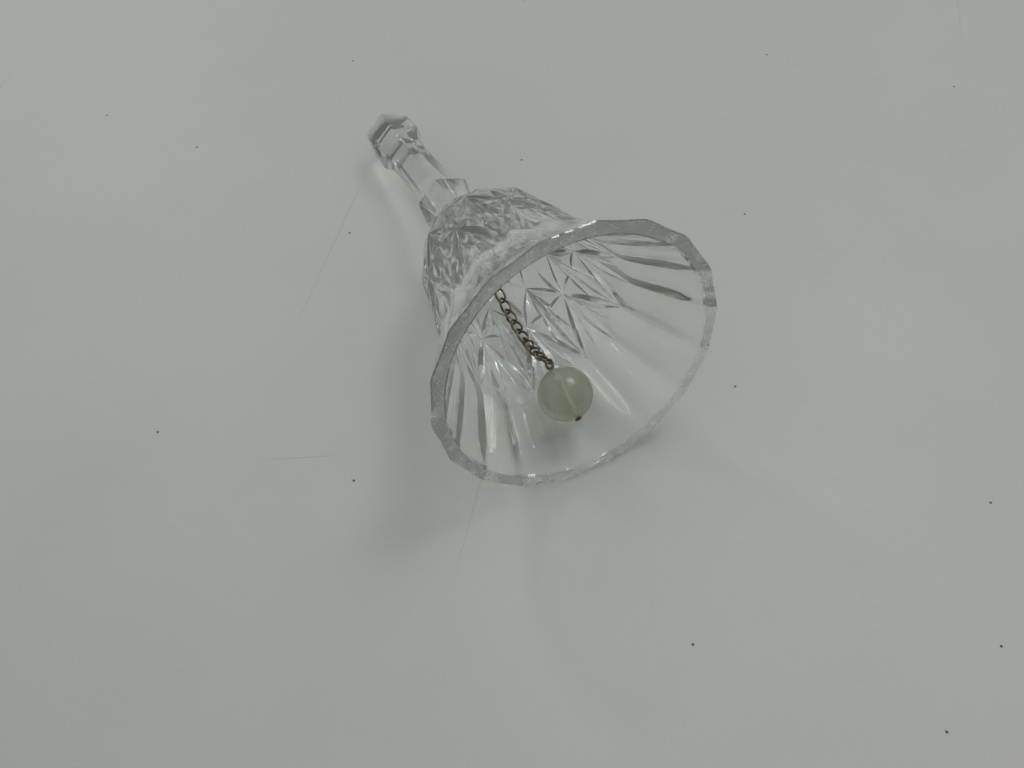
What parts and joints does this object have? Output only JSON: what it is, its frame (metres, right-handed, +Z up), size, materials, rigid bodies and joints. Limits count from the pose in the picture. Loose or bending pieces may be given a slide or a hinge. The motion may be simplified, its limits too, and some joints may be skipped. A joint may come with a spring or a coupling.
{
  "type": "glass dinner bell",
  "caption": "Hand bell of clear pressed glass with flutes, stars and a faceted handle, and a frosted glass bead as clapper on a brass curb chain.",
  "frame": {"origin": "middle of the footprint of the bell as it lies on its side, on the table", "axes": "+X level, from the knob towards the mouth; +Z up from the table; the bell's axis lies in the XZ plane, its mouth end up by about 12 degrees"},
  "size_m": [0.1206, 0.064, 0.0616],
  "materials": {
    "clear_glass": "gloss",
    "frosted_glass": "satin",
    "old_brass": "satin",
    "cement": "matte"
  },
  "bodies": {
    "bell": {"glass_bell": "clear_glass", "cement_plug": "cement", "wire_eye": "old_brass"},
    "chain_link_01": {"chain_link_01": "old_brass"},
    "upper_chain": {"chain_link_02": "old_brass", "chain_link_03": "old_brass", "chain_link_04": "old_brass", "chain_link_05": "old_brass"},
    "middle_chain": {"chain_link_06": "old_brass", "chain_link_07": "old_brass", "chain_link_08": "old_brass", "chain_link_09": "old_brass"},
    "lower_chain": {"chain_link_10": "old_brass", "chain_link_11": "old_brass", "chain_link_12": "old_brass", "chain_link_13": "old_brass", "end_link": "old_brass"},
    "bead_pin": {"bead_pin": "old_brass"},
    "bead": {"bead": "frosted_glass"}
  },
  "joints": [
    {"name": "chain_turn", "type": "hinge", "parent": "bell", "child": "chain_link_01", "pos_m": [0.00098, 0, 0.01956], "axis": [0.978, 0, 0.2088], "range_deg": [-60, 60]},
    {"name": "clapper_swing", "type": "hinge", "parent": "chain_link_01", "child": "upper_chain", "pos_m": [0.00371, 0, 0.02015], "axis": [0, -1, 0], "range_deg": [0, 62.2]},
    {"name": "middle_bend", "type": "hinge", "parent": "upper_chain", "child": "middle_chain", "pos_m": [0.01367, 0, 0.01314], "axis": [0, -1, 0], "range_deg": [-35, 35]},
    {"name": "lower_bend", "type": "hinge", "parent": "middle_chain", "child": "lower_chain", "pos_m": [0.0253, 0, 0.01008], "axis": [0, -1, 0], "range_deg": [-35, 35]},
    {"name": "pin_bend", "type": "hinge", "parent": "lower_chain", "child": "bead_pin", "pos_m": [0.03991, 0, 0.01532], "axis": [0, -1, 0], "range_deg": [-60, 60]},
    {"name": "bead_spin", "type": "hinge", "parent": "bead_pin", "child": "bead", "pos_m": [0.04775, 0, 0.01328], "axis": [0.9677, 0, -0.2522], "continuous": true}
  ],
  "couplings": [
    {"joint": "middle_bend", "follows": "clapper_swing", "ratio": -0.232},
    {"joint": "lower_bend", "follows": "clapper_swing", "ratio": -0.49964},
    {"joint": "pin_bend", "follows": "clapper_swing", "ratio": 0.54597}
  ]
}
